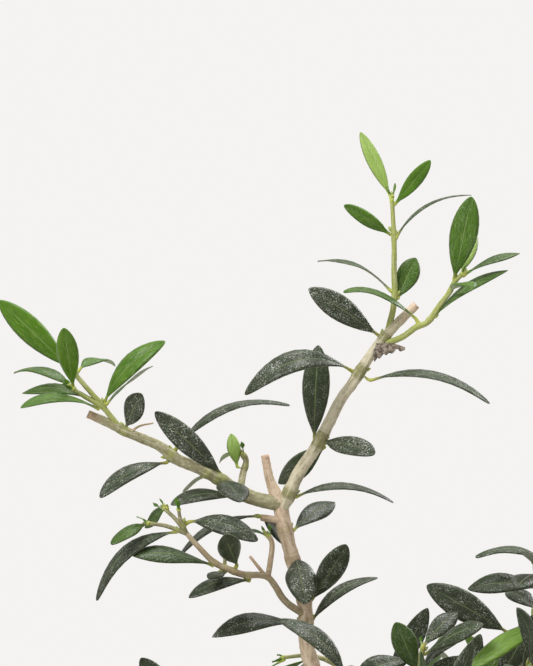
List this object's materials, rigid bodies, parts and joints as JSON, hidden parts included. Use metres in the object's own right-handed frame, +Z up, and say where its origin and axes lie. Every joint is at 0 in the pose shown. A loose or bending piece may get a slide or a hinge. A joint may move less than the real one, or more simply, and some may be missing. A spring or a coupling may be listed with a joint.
{
  "type": "olive bonsai",
  "caption": "Small olive tree trained as a bonsai, with slender leaves on sparse boughs, in a low rectangular footed pot filled with soil.",
  "frame": {"origin": "middle of the whole object's width and depth, on the surface that the pot stands on", "axes": "+Z up the tree, +X to the right and -Y towards the viewer in the picture's view"},
  "size_m": [0.2504, 0.1891, 0.3777],
  "materials": {
    "clay": "unglazed stoneware",
    "mesh": "woven mesh",
    "soil": "fine grit",
    "bark": "bark",
    "leaf": "waxy leaf with a grey-green underside"
  },
  "bodies": {
    "root": {"pot": "clay", "drainage_screen_left": "mesh", "drainage_screen_right": "mesh", "soil": "soil", "trunk": "bark", "leader": "leaf", "left_bough": "leaf", "left_tip_shoot": "leaf", "right_bough": "leaf", "top_upright_shoot": "leaf", "top_right_shoot": "leaf", "lower_left_twig": "leaf", "right_shoot": "leaf", "front_shoot": "leaf", "right_front_spray": "leaf", "right_tip_spray": "leaf", "right_under_spray": "leaf", "right_back_spray": "leaf", "right_lower_spray": "leaf", "left_low_tip_spray": "leaf", "left_low_front_spray": "leaf", "left_low_back_spray": "leaf", "left_low_up_spray": "leaf", "back_left_spray": "leaf", "back_right_spray": "leaf", "back_tip_spray": "leaf", "front_left_spray": "leaf", "front_tip_spray": "leaf"}
  },
  "joints": []
}
